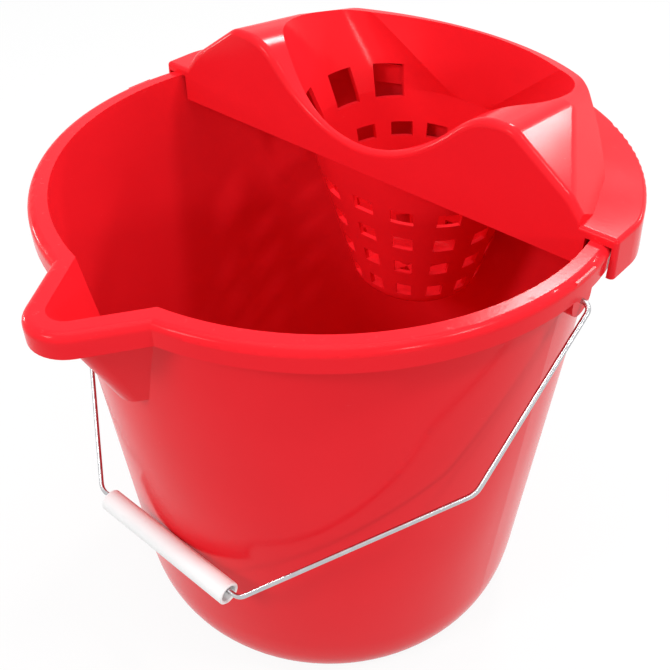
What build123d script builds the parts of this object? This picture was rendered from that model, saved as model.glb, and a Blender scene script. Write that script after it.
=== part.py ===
from build123d import *
import math
import os

# Household mop bucket with a lift-out cone wringer. Millimetres, +Z up.
# Origin: centre of the bucket's base. The pouring lip points to -Y, the wringer hangs
# on the rear half of the rim (+Y), and the wire handle pivots on the X axis.

# ---- bucket -------------------------------------------------------------------------
rim_height = 282.0            # base to the flat top of the rim
rim_radius = 150.0            # outer edge of the rolled rim
rim_overhang = 7.7            # how far the rolled rim stands out past the wall
body_base_radius = 121.0      # outside of the tapered wall, carried down to the base
wall = 2.5                    # moulded wall of the bucket
base_thickness = 2.8
foot_radius = 105.5           # outer edge of the flat foot ring
foot_width = 9.0
foot_depth = 3.0              # how far the base plate sits above the foot ring
foot_draft = 10.0             # degrees, draft on the inside of the foot ring
corner_height = 35.0          # height of the soft curve between base and wall
rim_thickness = 2.3
rim_drop = 12.0               # depth of the rolled rim's skirt
rim_round = 4.2               # outer radius over the top of the rim
# pouring lip
lip_projection = 20.5         # inner tip of the V, out past the rolled rim
lip_half_angle = 34.0         # degrees, half of the V
lip_tip_radius = 9.5          # inner radius of the V's tip
lip_drop = 63.0               # how far the lip's trough runs down the wall
lip_foot_projection = 2.7     # outer tip of the trough's lower end, out past the wall's top
lip_foot_radius = 9.0
# handle ears under the rim
ear_drop = 15.0               # pivot below the top of the rim
ear_half_width = 8.0
ear_recess = 0.4              # outer face of the ear, in from the rolled rim's edge
pivot_hole_depth = 9.6

# ---- wire handle and its grip -------------------------------------------------------
wire_radius = 1.3
pivot_clearance = 0.05        # radial running fit of the wire ends in the ears
pin_end_gap = 0.6             # wire end to the bottom of its blind hole
leg_stand_off = 5.0           # middle of the wire legs at the pivots, out from the ears
knee_inset = 9.2              # first bend, in from the legs' tops
knee_drop = 99.0              # pivot axis to the first bend
knee_to_grip = 112.0          # first bend to the grip's stretch of wire
shoulder_gap = 7.5            # grip's end to the second bend
pin_bend_gap = 1.0            # straight wire between the ear and the bend beside it
knee_bend_radius = 13.0
shoulder_bend_radius = 8.0
grip_radius = 6.5
grip_bore_radius = 4.7
grip_length = 98.0
grip_edge = 0.4               # chamfer on the tube's ends
rest_gap = 0.3                # loose pieces lie this far from what they rest on

# ---- wringer ------------------------------------------------------------------------
wringer_wall = 2.6
front_plane = 23.5            # flat front of the wringer, behind the handle's axis
saddle_gap = 5.4              # rolled rim to the inside of the skirt, at the rear
saddle_end_gap = 0.4          # the same at the skirt's two front ends
saddle_wall = 2.4             # wall of the skirt that hooks over the rim
saddle_blend = 35.0           # plan radius where the straight ends meet the round rear
saddle_thickness = 4.6        # ledge that lies on the rim
saddle_skirt = 16.0           # skirt below the top of the rim
skirt_draft = 3.0             # degrees
saddle_round = 2.2
ledge_width = 19.5            # open ledge between the saddle's edge and the hood
hood_draft = 4.0              # degrees, hood's side and rear wall
hood_front_height = 40.0      # top of the hood above the rim, at the front plane
hood_rear_height = 27.8       # the same at the rear
crest_front_inset = 47.5      # side of the hood's flat top at the front plane, in from its foot
crest_rear_inset = 50.3       # the same at the rear wall
ridge_front_inset = 11.3      # lower ridge of each shoulder at the front plane
ridge_front_height = 15.0
ridge_rear_inset = 52.3       # where that ridge runs into the crest, in from the foot's side
ridge_rear_setback = 15.158   # and forward of the crest's rear end
shoulder_side_angle = 31.0    # degrees round from +X, where the shoulder comes down lowest
shoulder_round = 13.0         # soft crest and ridge of each shoulder
front_edge_round = 3.5        # hood's front face into its top
tongue_clearance = 1.6        # locating wall inside the bucket's wall, radial
apron_drop = 15.0             # apron and locating wall below the top of the rim
dip_peak_inset = 8.8          # peaks of the scoop in the front edge, in from the crests
dip_quarter_inset = 29.0      # a point half way down the scoop, in from its peaks
dip_quarter_height = 23.5     # and its height above the rim
scoop_close = 0.98            # width of the scoop above the basket's axis, as a share
mouth_side_inset = 1.3        # side of the wringer's opening, in from the crest's front end
mouth_front = 27.0
mouth_rear_wall = 2.6         # hood's rear wall beside the mouth, at its top
mouth_front_corner = 56.0
mouth_rear_corner = 28.0
mouth_corner_share = 0.55     # side that the rear corner takes up, as a share of its radius
throat_half_width = 62.0      # inside of the funnel at the apron's lower edge
throat_rear_gap = 5.5         # rear of the funnel in from the locating wall, lower edge
throat_corner = 50.0
corner_flat = 2.0             # least straight side left beside the throat's corners
throat_bow = 1.2              # how far the rear of the basket bulges at the throat
basket_setback = 47.26        # centre of the basket's floor, in from the funnel's rear
basket_floor_radius = 37.0    # outside
basket_drop = 113.0           # outside of the basket's floor, below the top of the rim
basket_round = 10.0
# drain slots
slot_columns = 14
slot_angle = 14.0             # degrees of arc that one slot takes
slot_height = 9.0
slot_first_drop = 39.0        # middle of the top row below the top of the rim
slot_pitch = 20.0
slot_rows = 4
slot_cut_depth = 24.0         # long enough to pass the oval basket's wall all round
window_width = 18.0           # larger windows high in the funnel
window_height = 20.0
window_drop = 9.5             # middle of the windows below the top of the rim
window_angles = (63, 93, 121)   # degrees round from the front, on each side
window_reach = 63.0           # middle of a window's cut, from the basket's own axis
window_cut_depth = 26.0
floor_slots = 6
floor_slot_length = 16.0
floor_slot_width = 5.0
floor_slot_reach = 13.0       # middle of a floor slot, from the basket's own axis

# ---- worked out from the sizes above ------------------------------------------------
body_top_radius = rim_radius - rim_overhang       # outside of the wall at rim height
taper = math.atan((body_top_radius - body_base_radius) / rim_height)
wall_run = wall / math.cos(taper)                 # wall measured level
rim_inner_radius = body_top_radius - wall_run
rim_width = rim_radius - rim_inner_radius
lip_reach = rim_radius + lip_projection
lip_foot_reach = body_top_radius + lip_foot_projection
lip_chord = foot_radius                           # the lip starts well inside the wall
ear_reach = rim_radius - ear_recess
pivot_height = rim_height - ear_drop
leg_reach = ear_reach + leg_stand_off
knee_reach = leg_reach - knee_inset
handle_drop = knee_drop + knee_to_grip
shoulder_reach = grip_length / 2 + shoulder_gap
pin_bend_radius = leg_stand_off - pin_bend_gap
apron_level = rim_height - apron_drop
mouth_level = rim_height + hood_front_height + wringer_wall
saddle_radius = rim_radius + saddle_gap + saddle_wall
saddle_end_half = math.sqrt(rim_radius**2 - front_plane**2) + saddle_end_gap + saddle_wall
hood_radius = saddle_radius - ledge_width
crest_front_half = hood_radius - crest_front_inset
crest_rear_half = hood_radius - crest_rear_inset
ridge_front_half = hood_radius - ridge_front_inset
ridge_rear_half = hood_radius - ridge_rear_inset
dip_half_width = crest_front_half - dip_peak_inset
dip_quarter = dip_half_width - dip_quarter_inset
mouth_half_width = crest_front_half - mouth_side_inset
hood_top_radius = hood_radius - hood_rear_height * math.tan(math.radians(hood_draft))
hood_tilt = math.atan((hood_front_height - hood_rear_height) / (hood_top_radius - front_plane))
mouth_rear = hood_top_radius - mouth_rear_wall


def wall_radius(height):
    """Outside radius of the bucket's tapered wall at a height."""
    return body_base_radius + height * math.tan(taper)


tongue_radius = wall_radius(apron_level) - wall_run - tongue_clearance
throat_rear = tongue_radius - throat_rear_gap
basket_axis = throat_rear - basket_setback


def lip_outline(tip, tip_radius, inner_edge):
    """V of the pouring lip: tip reach, tip radius, and the chord that closes it."""
    slope = math.tan(math.radians(lip_half_angle))
    apex = tip + tip_radius * (1 / math.sin(math.radians(lip_half_angle)) - 1)
    half_width = (apex - inner_edge) * slope
    with BuildSketch() as outline:
        with BuildLine():
            Polyline(
                (half_width, -inner_edge),
                (0, -apex),
                (-half_width, -inner_edge),
                close=True,
            )
        make_face()
        fillet(outline.vertices().sort_by(Axis.Y)[0], tip_radius)
    return outline.sketch


def rim_outline(grow):
    """Plan of the rim's inner edge, with its lip, grown outwards by a distance."""
    with BuildSketch() as outline:
        Circle(rim_inner_radius + grow)
        add(lip_outline(lip_reach + grow, lip_tip_radius + grow, lip_chord))
    return outline.sketch


# ---- bucket: tapered shell ----------------------------------------------------------
def shell_profile(inset, floor):
    """Half section of the pail, inset from its outside, standing on a floor height."""
    foot = foot_radius - inset
    corner = (wall_radius(corner_height) - inset, corner_height)
    brim = (wall_radius(rim_height) - inset, rim_height)
    with BuildSketch(Plane.XZ) as section:
        with BuildLine():
            Line((0, floor), (foot, floor))
            Spline(
                (foot, floor),
                corner,
                tangents=((1, 0), (math.sin(taper), math.cos(taper))),
                tangent_scalars=(1.0, 1.4),
            )
            Polyline(corner, brim, (0, rim_height), (0, floor))
        make_face()
    return section.sketch


with BuildPart() as lip_outside:
    with BuildSketch(Plane.XY.offset(rim_height - rim_thickness)):
        add(lip_outline(lip_reach + wall, lip_tip_radius + wall, lip_chord))
    with BuildSketch(Plane.XY.offset(rim_height - lip_drop)):
        add(lip_outline(lip_foot_reach, lip_foot_radius, lip_chord))
    loft(ruled=True)

with BuildPart() as lip_inside:
    with BuildSketch(Plane.XY.offset(rim_height)):
        add(lip_outline(lip_reach, lip_tip_radius, lip_chord))
    with BuildSketch(Plane.XY.offset(rim_height - lip_drop + wall)):
        add(lip_outline(lip_foot_reach - wall, lip_foot_radius - wall, lip_chord))
    loft(ruled=True)

with BuildPart() as rolled_rim:
    with BuildSketch(Plane.XY.offset(rim_height - rim_drop)):
        add(rim_outline(rim_width))
    extrude(amount=rim_drop)
    fillet(rolled_rim.faces().sort_by(Axis.Z)[-1].edges(), rim_round)
    with BuildSketch(Plane.XY.offset(rim_height - rim_drop)):
        add(rim_outline(rim_width - rim_thickness))
    extrude(amount=rim_drop - rim_thickness, mode=Mode.SUBTRACT)

with BuildPart() as bucket:
    add(shell_profile(0, 0))
    revolve(axis=Axis.Z)
    add(lip_outside.part)
    add(rolled_rim.part)
    # ears: a thick pad under the rim on each side, bored for the wire ends
    for side in (1, -1):
        with BuildSketch(Plane.YZ.offset(side * rim_inner_radius)):
            with Locations((0, pivot_height)):
                Circle(ear_half_width)
            with Locations((0, pivot_height + ear_drop / 2)):
                Rectangle(2 * ear_half_width, ear_drop - rim_thickness)
        extrude(amount=side * (ear_reach - rim_inner_radius))
    # inside of the pail
    add(shell_profile(wall_run, foot_depth + base_thickness))
    revolve(axis=Axis.Z, mode=Mode.SUBTRACT)
    add(lip_inside.part, mode=Mode.SUBTRACT)
    # recessed base plate inside the foot ring
    with BuildSketch(Plane.XY):
        Circle(foot_radius - foot_width)
    extrude(amount=foot_depth, taper=foot_draft, mode=Mode.SUBTRACT)
    for side in (1, -1):
        with BuildSketch(Plane.YZ.offset(side * ear_reach)):
            with Locations((0, pivot_height)):
                Circle(wire_radius + pivot_clearance)
        extrude(amount=-side * pivot_hole_depth, mode=Mode.SUBTRACT)


# ---- wire handle --------------------------------------------------------------------
def hang_angle():
    """Angle forward of straight down at which the hanging grip meets the bucket's wall."""
    angle = 0.0
    for _ in range(12):
        grip_height = pivot_height - handle_drop * math.cos(angle) - grip_hang
        stand_off = (grip_radius + rest_gap) / math.cos(taper)
        angle = math.asin((wall_radius(grip_height) + stand_off) / handle_drop)
    return angle


grip_hang = grip_bore_radius - wire_radius - rest_gap   # the tube hangs on the wire
rest_angle = hang_angle()
pin_reach = ear_reach - pivot_hole_depth + pin_end_gap
bail_plane = Plane(
    origin=(0, 0, pivot_height),
    x_dir=(1, 0, 0),
    z_dir=(0, math.cos(rest_angle), -math.sin(rest_angle)),
)
with BuildPart() as bail_wire:
    with BuildLine(bail_plane) as wire_path:
        FilletPolyline(
            (pin_reach, 0),
            (leg_reach, 0),
            (knee_reach, knee_drop),
            (shoulder_reach, handle_drop),
            (-shoulder_reach, handle_drop),
            (-knee_reach, knee_drop),
            (-leg_reach, 0),
            (-pin_reach, 0),
            radius=[
                pin_bend_radius,
                knee_bend_radius,
                shoulder_bend_radius,
                shoulder_bend_radius,
                knee_bend_radius,
                pin_bend_radius,
            ],
        )
    with BuildSketch(Plane(origin=wire_path.line @ 0, z_dir=wire_path.line % 0)):
        Circle(wire_radius)
    sweep()

grip_centre = bail_plane.from_local_coords((0, handle_drop, 0)) - Vector(0, 0, grip_hang)
with BuildPart() as grip_tube:
    with BuildSketch(Plane.YZ.offset(-grip_length / 2)):
        with Locations((grip_centre.Y, grip_centre.Z)):
            Circle(grip_radius)
            Circle(grip_bore_radius, mode=Mode.SUBTRACT)
    extrude(amount=grip_length)
    chamfer(grip_tube.edges().filter_by(GeomType.CIRCLE), grip_edge)


# ---- wringer: hood, apron and saddle ------------------------------------------------
def chord_disc(radius, front):
    """Disc about the bucket's axis, cut off flat at the front."""
    with BuildSketch() as outline:
        Circle(radius)
        with Locations((0, front)):
            Rectangle(3 * radius, 3 * radius, align=(Align.CENTER, Align.MAX), mode=Mode.SUBTRACT)
    return outline.sketch


def saddle_outline(inset):
    """Plan of the saddle, inset from its edge: round behind, straight at its two ends."""
    with BuildSketch() as outline:
        Circle(saddle_radius - inset)
        Rectangle(2 * (saddle_end_half - inset), 2 * saddle_radius, mode=Mode.INTERSECT)
        Rectangle(
            2 * saddle_radius,
            saddle_radius,
            align=(Align.CENTER, Align.MAX),
            mode=Mode.SUBTRACT,
        )
        fillet(outline.vertices().group_by(Axis.Y)[-1], saddle_blend - inset)
    return outline.sketch


def plane_through(first, second, third):
    """Plane through three points, facing up."""
    normal = (second - first).cross(third - first)
    return Plane(origin=first, z_dir=normal * (1 if normal.Z > 0 else -1))


def height_on(plane, x, y):
    """Height of a plane at a place in plan."""
    normal = plane.z_dir
    across = normal.X * (x - plane.origin.X) + normal.Y * (y - plane.origin.Y)
    return plane.origin.Z - across / normal.Z


def rear_depth(half_width):
    """Distance behind the bucket's axis at which the hood's rear wall has a half width."""
    return math.sqrt(hood_top_radius**2 - half_width**2)


ridge_rear_depth = rear_depth(crest_rear_half) - ridge_rear_setback

hood_top = Plane(
    origin=(0, front_plane, rim_height + hood_front_height),
    x_dir=(1, 0, 0),
    z_dir=(0, math.sin(hood_tilt), math.cos(hood_tilt)),
)


def shoulder_planes(side):
    """Two planes of one shoulder: inside its ridge, and from the ridge down to the ledge."""
    depth = rear_depth(crest_rear_half)
    crest_front = Vector(side * crest_front_half, front_plane, rim_height + hood_front_height)
    crest_rear = Vector(side * crest_rear_half, depth, height_on(hood_top, 0, depth))
    ridge_front = Vector(side * ridge_front_half, front_plane, rim_height + ridge_front_height)
    upper = plane_through(crest_front, crest_rear, ridge_front)
    ridge_place = (side * ridge_rear_half, ridge_rear_depth)
    ridge_rear = Vector(*ridge_place, height_on(upper, *ridge_place))
    foot = Vector(
        side * hood_radius * math.cos(math.radians(shoulder_side_angle)),
        hood_radius * math.sin(math.radians(shoulder_side_angle)),
        rim_height + saddle_thickness,
    )
    return upper, plane_through(ridge_front, ridge_rear, foot)


def front_cut(inset):
    """Plane of the wringer's flat front, inset by a wall, facing forwards."""
    return Plane.XZ.offset(-front_plane - inset)


def scoop_form(lower):
    """Region above the front edge's double curve, closing in to the rear, lowered by a wall."""
    with BuildPart() as form:
        for share, depth in ((1, front_plane), (scoop_close, basket_axis)):
            crest = height_on(hood_top, 0, depth) - lower
            peak = (share * dip_half_width, crest)
            half_way = (share * dip_quarter, crest - hood_front_height + dip_quarter_height)
            top = crest + 2 * wringer_wall
            with BuildSketch(Plane.XZ.offset(-depth)):
                with BuildLine():
                    Spline(
                        (-peak[0], peak[1]),
                        (-half_way[0], half_way[1]),
                        (0, crest - hood_front_height),
                        half_way,
                        peak,
                        tangents=((1, 0), (1, 0)),
                    )
                    Polyline(peak, (peak[0], top), (-peak[0], top), (-peak[0], peak[1]))
                make_face()
        loft(ruled=True)
    return form.part


def hood_form(inset):
    """Solid under the raised hood, inset by a wall thickness for its inside."""
    with BuildPart() as form:
        with BuildSketch(Plane.XY.offset(rim_height - inset)):
            add(saddle_outline(ledge_width + inset))
        extrude(amount=mouth_level - rim_height, taper=hood_draft)
        split(bisect_by=front_cut(inset), keep=Keep.BOTTOM)
        split(bisect_by=hood_top.offset(-inset), keep=Keep.BOTTOM)
        for side in (1, -1):
            upper, outer = shoulder_planes(side)
            split(bisect_by=upper.offset(-inset), keep=Keep.BOTTOM)
            split(bisect_by=outer.offset(-inset), keep=Keep.BOTTOM)
            corner = Vector(side * ridge_rear_half, ridge_rear_depth, rim_height + hood_front_height)
            meeting = form.vertices().sort_by_distance(corner)[0]
            fillet(
                form.edges().filter_by(lambda edge: edge.distance_to(meeting) < wall),
                shoulder_round - inset,
            )
    return form.part


def funnel_section(half_width, front, rear, front_corner, rear_corner, bow):
    """Outline of the funnel at one level: flat front and sides, rear bowed like the rim."""
    with BuildSketch() as outline:
        with BuildLine():
            Polyline(
                (-half_width, rear - bow),
                (-half_width, front),
                (half_width, front),
                (half_width, rear - bow),
            )
            ThreePointArc((half_width, rear - bow), (0, rear), (-half_width, rear - bow))
        make_face()
        fillet(outline.vertices().group_by(Axis.Y)[0], front_corner)
        fillet(outline.vertices().group_by(Axis.Y)[-1], rear_corner)
    return outline.sketch


def mouth_section(grow):
    """Opening of the wringer at the top of the hood, grown outwards by a wall."""
    half = mouth_half_width + grow
    front = mouth_front - grow
    rear = mouth_rear + grow
    side_end = math.sqrt(rear**2 - half**2)
    rear_corner = mouth_rear_corner + grow
    # the front corner leaves the rear one its share of the side
    front_corner = min(mouth_front_corner + grow, side_end - front - mouth_corner_share * rear_corner)
    return funnel_section(half, front, rear, front_corner, rear_corner, rear - side_end)


def throat_section(grow):
    """Funnel at the apron's lower edge."""
    half = throat_half_width + grow
    front = front_plane + wringer_wall - grow
    corner = min(throat_corner + grow, (throat_rear + grow - front) / 2 - corner_flat)
    return funnel_section(half, front, throat_rear + grow, corner, corner, throat_bow)


def floor_section(grow):
    """Basket at its floor: nearly a circle, with the same eight edges as the mouth."""
    radius = basket_floor_radius - wringer_wall + grow
    corner = radius - throat_bow
    front = basket_axis - radius
    return funnel_section(radius, front, basket_axis + radius, corner, corner, throat_bow / 4)


def funnel_form(grow):
    """Upper funnel, from above the hood down to the apron's lower edge."""
    with BuildPart() as form:
        with BuildSketch(Plane.XY.offset(mouth_level)):
            add(mouth_section(grow))
        with BuildSketch(Plane.XY.offset(apron_level)):
            add(throat_section(grow))
        loft(ruled=True)
    return form.part


def basket_form(grow, drop, rounding):
    """Slotted basket below the apron, down to its floor."""
    with BuildPart() as form:
        with BuildSketch(Plane.XY.offset(apron_level)):
            add(throat_section(grow))
        with BuildSketch(Plane.XY.offset(rim_height - drop)):
            add(floor_section(grow))
        loft(ruled=True)
        fillet(form.faces().sort_by(Axis.Z)[0].edges(), rounding)
    return form.part


def basket_wall_radius(drop):
    """Rough middle of the basket's wall at a depth below the rim, from its own axis."""
    share = (drop - apron_drop) / (basket_drop - apron_drop)
    return throat_half_width + share * (basket_floor_radius - wringer_wall - throat_half_width)


def edges_above(face, height):
    """Edges of a face whose middle lies above a height."""
    return face.edges().filter_by(lambda edge: edge.bounding_box().center().Z > height)


# top of the hood's short side wall at the front
end_wall_top = height_on(shoulder_planes(1)[1], saddle_end_half - ledge_width, front_plane)

hood_outside = hood_form(0)
hood_inside = hood_form(wringer_wall)
funnel_outside = funnel_form(wringer_wall)
funnel_inside = funnel_form(0)
basket_outside = basket_form(wringer_wall, basket_drop, basket_round)
basket_inside = basket_form(0, basket_drop - wringer_wall, basket_round - wringer_wall)

with BuildPart() as under_hood:
    add(hood_inside)
    add(scoop_form(wringer_wall), mode=Mode.SUBTRACT)
    with BuildSketch(Plane.XY.offset(apron_level)):
        add(chord_disc(tongue_radius - wringer_wall, front_plane + wringer_wall))
    extrude(amount=apron_drop)
    add(funnel_outside, mode=Mode.SUBTRACT)

with BuildPart() as saddle:
    with BuildSketch(Plane.XY.offset(rim_height + saddle_thickness)):
        add(saddle_outline(0))
    extrude(amount=-saddle_thickness - saddle_skirt, taper=-skirt_draft)
    split(bisect_by=front_cut(0), keep=Keep.BOTTOM)
    end_corners = saddle.faces().sort_by(Axis.Y)[0].edges().sort_by(Axis.X)
    top_edges = saddle.faces().sort_by(Axis.Z)[-1].edges()
    fillet(top_edges + [end_corners[0], end_corners[-1]], saddle_round)
    with BuildSketch(Plane.XY.offset(rim_height - saddle_skirt)):
        add(saddle_outline(saddle_wall))
    extrude(amount=saddle_skirt, mode=Mode.SUBTRACT)

with BuildPart() as window_cuts:
    with Locations((0, basket_axis, rim_height - window_drop)):
        for angle in window_angles:
            for turn in (angle - 90, -angle - 90):
                with PolarLocations(window_reach, 1, start_angle=turn):
                    Box(window_cut_depth, window_width, window_height)

# the windows pass through the funnel's wall only, not the locating wall behind it
with BuildPart() as windows:
    add(funnel_outside)
    add(basket_outside)
    add(window_cuts.part, mode=Mode.INTERSECT)

with BuildPart() as wringer:
    add(saddle.part)
    add(hood_outside)
    with BuildSketch(Plane.XY.offset(apron_level)):
        add(chord_disc(tongue_radius, front_plane))
    extrude(amount=apron_drop)
    add(scoop_form(0), mode=Mode.SUBTRACT)
    # soft edge from the flat front into the scoop, the crests and the shoulders
    fillet(edges_above(wringer.faces().sort_by(Axis.Y)[0], end_wall_top), front_edge_round)
    add(basket_outside)
    add(under_hood.part, mode=Mode.SUBTRACT)
    add(funnel_inside, mode=Mode.SUBTRACT)
    add(basket_inside, mode=Mode.SUBTRACT)

    # rows of drain slots round the basket, shorter towards its floor
    for row in range(slot_rows):
        drop = slot_first_drop + row * slot_pitch
        reach = basket_wall_radius(drop)
        slot_width = 2 * reach * math.sin(math.radians(slot_angle / 2))
        with Locations((0, basket_axis, rim_height - drop)):
            with PolarLocations(reach, slot_columns, start_angle=-90):
                Box(slot_cut_depth, slot_width, slot_height, mode=Mode.SUBTRACT)
    add(windows.part, mode=Mode.SUBTRACT)
    # drain slots in the basket's floor
    with Locations((0, basket_axis, rim_height - basket_drop)):
        with PolarLocations(floor_slot_reach, floor_slots):
            Box(floor_slot_length, floor_slot_width, 3 * wringer_wall, mode=Mode.SUBTRACT)

bucket.part.label = "bucket"
bail_wire.part.label = "bail_wire"
grip_tube.part.label = "grip_tube"
wringer.part.label = "wringer"

os.makedirs("parts", exist_ok=True)
export_step(bucket.part, "parts/bucket.step")
export_step(bail_wire.part, "parts/bail_wire.step")
export_step(grip_tube.part, "parts/grip_tube.step")
export_step(wringer.part, "parts/wringer.step")
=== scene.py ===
import math

import bpy
from mathutils import Matrix, Vector


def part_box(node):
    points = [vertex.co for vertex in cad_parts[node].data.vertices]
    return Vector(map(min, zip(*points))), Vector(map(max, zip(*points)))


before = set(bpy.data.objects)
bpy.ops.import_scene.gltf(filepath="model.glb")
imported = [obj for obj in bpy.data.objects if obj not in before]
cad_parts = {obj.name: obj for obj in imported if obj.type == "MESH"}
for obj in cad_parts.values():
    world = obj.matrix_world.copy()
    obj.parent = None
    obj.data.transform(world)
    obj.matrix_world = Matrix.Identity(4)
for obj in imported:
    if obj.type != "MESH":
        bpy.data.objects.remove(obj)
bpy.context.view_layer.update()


# ---- Bucket --------------------------------------------------------------------------
# One injection moulding in red polypropylene: tapered pail, rolled rim, pouring lip, ears
# for the handle and a foot ring. It comes out of a polished mould, so it is glossy, with a
# faint orange peel, slow sink marks, and light scuffs where it is carried and set down.
class Signal:
    """One output of a material's nodes. Sums of signals and numbers add Math nodes."""

    def __init__(self, tree, socket=None):
        self.tree = tree
        self.socket = socket

    def node(self, kind, settings, inputs, output=0):
        """Adds any node: its settings first, then the values or links of its sockets."""
        made = self.tree.nodes.new("ShaderNode" + kind)
        for name, value in settings.items():
            setattr(made, name, value)
        for name, value in inputs.items():
            if isinstance(value, Signal):
                self.tree.links.new(value.socket, made.inputs[name])
            else:
                made.inputs[name].default_value = value
        return Signal(self.tree, made.outputs[output] if made.outputs else None)

    def calculate(self, operation, first, second):
        return self.node("Math", {"operation": operation}, {0: first, 1: second})

    def __add__(self, other):
        return self.calculate("ADD", self, other)

    def __sub__(self, other):
        return self.calculate("SUBTRACT", self, other)

    def __rsub__(self, other):
        return self.calculate("SUBTRACT", other, self)

    def __mul__(self, other):
        return self.calculate("MULTIPLY", self, other)

    __radd__ = __add__
    __rmul__ = __mul__


def new_finish(name):
    """An empty material, and a signal to build its nodes from."""
    finish = bpy.data.materials.new(name)
    finish.use_nodes = True
    finish.node_tree.nodes.clear()
    return finish, Signal(finish.node_tree)


def place_on_piece(tree):
    return tree.node("TexCoord", {}, {}, "Object")


def drawn_out(tree, place, scale):
    """The place with its axes scaled, so that a pattern draws out along the smallest."""
    return tree.node("Mapping", {}, {"Vector": place, "Scale": scale})


def noise(tree, place, scale, detail, rough=0.5):
    sockets = {"Vector": place, "Scale": scale, "Detail": detail, "Roughness": rough}
    return tree.node("TexNoise", {}, sockets)


def two_tone(tree, share, first, second):
    """A colour that goes from the first to the second as the share goes from 0 to 1."""
    first_socket, second_socket, colour_output = 6, 7, 2
    sockets = {"Factor": share, first_socket: first, second_socket: second}
    settings = {"data_type": "RGBA", "blend_type": "MIX"}
    return tree.node("Mix", settings, sockets, colour_output)


def near_edge(tree, height, edge, band_end):
    """1 at an edge's height, fading to 0 at the end of the rubbed band beside it."""
    sockets = {"Value": height, "From Min": band_end, "From Max": edge}
    return tree.node("MapRange", {"clamp": True}, sockets)


def close_finish(tree, **inputs):
    """The shader itself, joined to the material's output."""
    sockets = {name.replace("_", " "): value for name, value in inputs.items()}
    shader = tree.node("BsdfPrincipled", {}, sockets)
    tree.node("OutputMaterial", {}, {"Surface": shader})


def red_moulding(name, seed, waviness, foot, top):
    """Polished red plastic, rubbed most at the heights of its foot and its top."""
    deep_red = (0.81, 0.0125, 0.021, 1)
    bright_red = (0.86, 0.0155, 0.025, 1)
    rubbed_red = (0.86, 0.09, 0.10, 1)
    foot_band, top_band = 0.012, 0.006
    edge_wear, wear_threshold, wear_contrast, wear_depth = 0.07, 0.68, 9.0, 0.22
    polish, cloud_dulling, scuff_dulling = 0.13, 0.10, 0.15

    finish, tree = new_finish(name)
    place = place_on_piece(tree)
    height = tree.node("SeparateXYZ", {}, {"Vector": place}, "Z")
    peel = noise(tree, place, scale=520.0, detail=1.0)
    sink = noise(tree, place, scale=9.0 + seed, detail=1.0)
    cloud = noise(tree, place, scale=24.0 + seed, detail=3.0)
    tint = two_tone(tree, cloud, deep_red, bright_red)
    # short rubbed marks, most of them where the moulding is set down and handled
    level_marks = drawn_out(tree, place, (1, 1, 4))
    marks = noise(tree, level_marks, scale=210.0, detail=4.0, rough=0.62)
    edges = near_edge(tree, height, foot, foot + foot_band)
    edges = edges + near_edge(tree, height, top, top - top_band)
    rubbed = (marks + edges * edge_wear - wear_threshold) * wear_contrast
    scuff = tree.node("Clamp", {}, {"Value": rubbed})
    worn = two_tone(tree, scuff * wear_depth, tint, rubbed_red)
    peel_bump = {"Strength": 0.05, "Distance": 0.0004, "Height": peel}
    peeled = tree.node("Bump", {}, peel_bump)
    sink_bump = {"Strength": waviness, "Distance": 0.004, "Height": sink, "Normal": peeled}
    close_finish(
        tree,
        Base_Color=worn,
        Roughness=polish + cloud * cloud_dulling + scuff * scuff_dulling,
        Normal=tree.node("Bump", {}, sink_bump),
        Specular_IOR_Level=0.08,
    )
    return finish


def dress(node, finish):
    """Gives a CAD node its finish."""
    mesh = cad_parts[node].data
    mesh.materials.clear()
    mesh.materials.append(finish)


pail_foot, pail_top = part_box("bucket")[0][2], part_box("bucket")[1][2]
pail_red = red_moulding("pail_red_polypropylene", 0, 0.35, pail_foot, pail_top)
dress("bucket", pail_red)

# ---- Wringer -------------------------------------------------------------------------
# A second moulding in the same red plastic: a saddle that hooks over the rear half of the
# rim, raised shoulders round a wide mouth, and a slotted basket that hangs in the pail.
# Its folded walls cool less evenly than a plain pail's, so its sink marks are stronger.
wringer_foot, wringer_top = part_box("wringer")[0][2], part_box("wringer")[1][2]
wringer_red = red_moulding("wringer_red_polypropylene", 3, 0.6, wringer_foot, wringer_top)
dress("wringer", wringer_red)


# ---- Wire handle ---------------------------------------------------------------------
# Drawn steel wire, zinc plated and bent cold, with its two ends turned in and sprung into
# the ears. The zinc is mottled, and faint lines from the die show through it.
def plated_wire():
    dull_zinc = (0.44, 0.44, 0.46, 1)
    bright_zinc = (0.60, 0.60, 0.61, 1)
    polish, mottle_dulling = 0.16, 0.18

    finish, tree = new_finish("zinc_plated_wire")
    place = place_on_piece(tree)
    mottle = noise(tree, place, scale=160.0, detail=3.0)
    drawn = noise(tree, drawn_out(tree, place, (9, 9, 1)), scale=420.0, detail=2.0)
    drawn_bump = {"Strength": 0.2, "Distance": 0.0002, "Height": drawn}
    close_finish(
        tree,
        Base_Color=two_tone(tree, mottle, dull_zinc, bright_zinc),
        Metallic=1.0,
        Roughness=polish + mottle * mottle_dulling,
        Normal=tree.node("Bump", {}, drawn_bump),
    )
    return finish


dress("bail_wire", plated_wire())


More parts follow.
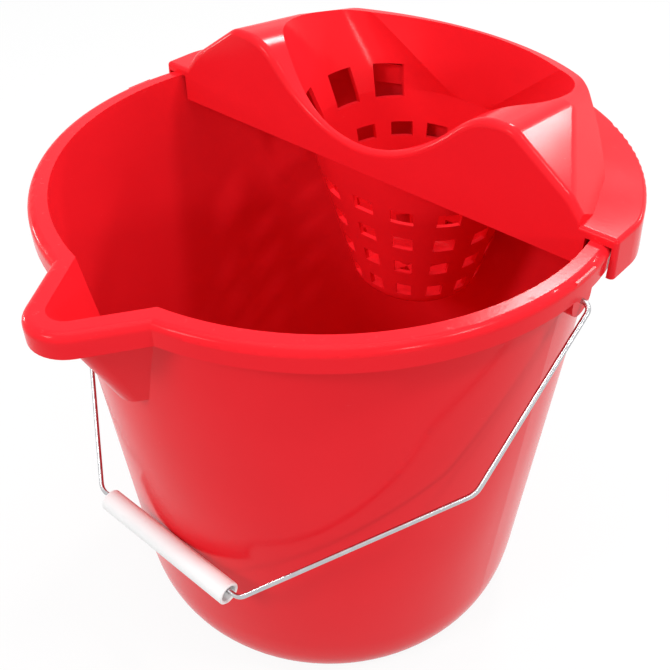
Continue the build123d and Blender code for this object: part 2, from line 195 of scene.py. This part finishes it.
# ---- Grip ----------------------------------------------------------------------------
# A length of white extruded tube, threaded loosely on the wire before it was bent. Fine
# lines from the die run along it, and its satin surface is a little uneven.
def extruded_white():
    dull_white = (0.86, 0.87, 0.87, 1)
    clean_white = (0.91, 0.92, 0.92, 1)
    satin, mottle_dulling = 0.32, 0.15

    finish, tree = new_finish("white_extruded_tube")
    place = place_on_piece(tree)
    mottle = noise(tree, place, scale=90.0, detail=3.0)
    lines = noise(tree, drawn_out(tree, place, (0.05, 1, 1)), scale=900.0, detail=2.0)
    line_bump = {"Strength": 0.25, "Distance": 0.0002, "Height": lines}
    close_finish(
        tree,
        Base_Color=two_tone(tree, mottle, dull_white, clean_white),
        Roughness=satin + mottle * mottle_dulling,
        Normal=tree.node("Bump", {}, line_bump),
    )
    return finish


dress("grip_tube", extruded_white())

# ---- Floor, light and camera ---------------------------------------------------------
# A plain pale floor that takes a soft shadow, a white room, and soft lamps: one overhead,
# two behind and two at the right for the bright edges, and one in front and one at the
# left that open up the shadows.
floor_size = 24.0
floor_grey = (0.50, 0.50, 0.50, 1)
white = (1, 1, 1, 1)
# to the eye the floor is mostly white paper, and the rest of it keeps the shadow
paper_strength = 1.06
paper_share = 0.86
# the room's light on the object, where 1 is the white that the eye sees
room_level = 0.62


def in_view(tree):
    """1 where a ray comes from the eye, from a reflection, or through something clear."""
    kinds = ("Camera", "Glossy", "Transmission")
    eye, gloss, clear = (
        tree.node("LightPath", {}, {}, "Is %s Ray" % kind) for kind in kinds
    )
    return tree.calculate("MAXIMUM", eye, gloss + clear)


bpy.ops.mesh.primitive_plane_add(size=floor_size, location=(0, 0, 0))
floor = bpy.context.object
floor.name = "floor"
floor_finish, tree = new_finish("pale_floor")
matt = tree.node("BsdfDiffuse", {}, {"Color": floor_grey})
paper = tree.node("Emission", {}, {"Color": white, "Strength": paper_strength})
share = in_view(tree) * paper_share
share_socket, matt_socket, paper_socket = 0, 1, 2
floor_mix = {share_socket: share, matt_socket: matt, paper_socket: paper}
surface = tree.node("MixShader", {}, floor_mix)
tree.node("OutputMaterial", {}, {"Surface": surface})
floor.data.materials.append(floor_finish)

world = bpy.data.worlds.new("studio")
bpy.context.scene.world = world
world.use_nodes = True
world.node_tree.nodes.clear()
tree = Signal(world.node_tree)
strength = room_level + in_view(tree) * (1 - room_level)
backdrop = tree.node("Background", {}, {"Color": white, "Strength": strength})
tree.node("OutputWorld", {}, {"Surface": backdrop})


def direction(turn, rise):
    """A unit direction: round from the front by the turn, up from level by the rise."""
    level = math.cos(rise)
    return Vector((math.sin(turn) * level, -math.cos(turn) * level, math.sin(rise)))


def soft_lamp(name, azimuth, elevation, aim, size, radiance):
    """A soft box, placed by its direction from the point that it lights."""
    lamp_distance = 1.3
    away = direction(math.radians(azimuth), math.radians(elevation))
    lamp = bpy.data.lights.new(name, "AREA")
    lamp.shape = "RECTANGLE"
    lamp.size, lamp.size_y = size
    lamp.energy = math.pi * size[0] * size[1] * radiance
    holder = bpy.data.objects.new(name, lamp)
    bpy.context.scene.collection.objects.link(holder)
    holder.location = Vector(aim) + away * lamp_distance
    holder.rotation_euler = (-away).to_track_quat("-Z", "Y").to_euler()


soft_lamp("overhead", 0, 90, aim=(0, 0, 0.35), size=(1.3, 1.3), radiance=1.5)
# gleam on the wringer's right shoulder
soft_lamp("rear_right", 171, 23.5, (0.10, 0.045, 0.312), size=(0.10, 0.09), radiance=84)
# gleam on the rim in front of the wringer's right end
soft_lamp("rear_left", -157, 38.5, (0.145, -0.015, 0.282), size=(0.22, 0.12), radiance=84)
soft_lamp("side", 112, 56, (0.13, -0.06, 0.282), size=(0.15, 0.12), radiance=84)
# gleam at the left of the wringer's mouth
soft_lamp("low_side", 64, 14, (-0.065, 0.109, 0.293), size=(0.07, 0.10), radiance=90)
# open up the wringer's front and the side of the pouring lip
soft_lamp("front", -12, 32, (0.05, 0.02, 0.30), size=(0.26, 0.26), radiance=24)
soft_lamp("left", -80, 6, (-0.05, -0.138, 0.28), size=(0.10, 0.18), radiance=48)

# The eye stands a little over half a metre off, so near edges spread and the base shrinks.
# Its place is in rim radii, from a point on the bucket's axis.
rim_radius = 0.15
turn, tilt, roll = (math.radians(angle) for angle in (41.28, 39.32, -0.28))
aim_height, side_step, height_step, distance = 0.5, -0.021, -0.476, 4.053
right = Vector((math.cos(turn), math.sin(turn), 0))
back = direction(turn, tilt)
up = back.cross(right)
up = up * math.cos(roll) - right * math.sin(roll)
right = up.cross(back)
axis_point = Vector((0, 0, rim_radius * aim_height))
eye = axis_point - right * (side_step * rim_radius) - up * (height_step * rim_radius)
eye = eye + back * (distance * rim_radius)
camera_data = bpy.data.cameras.new("camera")
camera_data.sensor_width = 36.0
camera_data.lens = 49.96
camera = bpy.data.objects.new("camera", camera_data)
bpy.context.scene.collection.objects.link(camera)
facing = Matrix((right, up, back)).transposed().to_4x4()
camera.matrix_world = Matrix.Translation(eye) @ facing
bpy.context.scene.camera = camera
bpy.context.scene.view_settings.view_transform = "Standard"
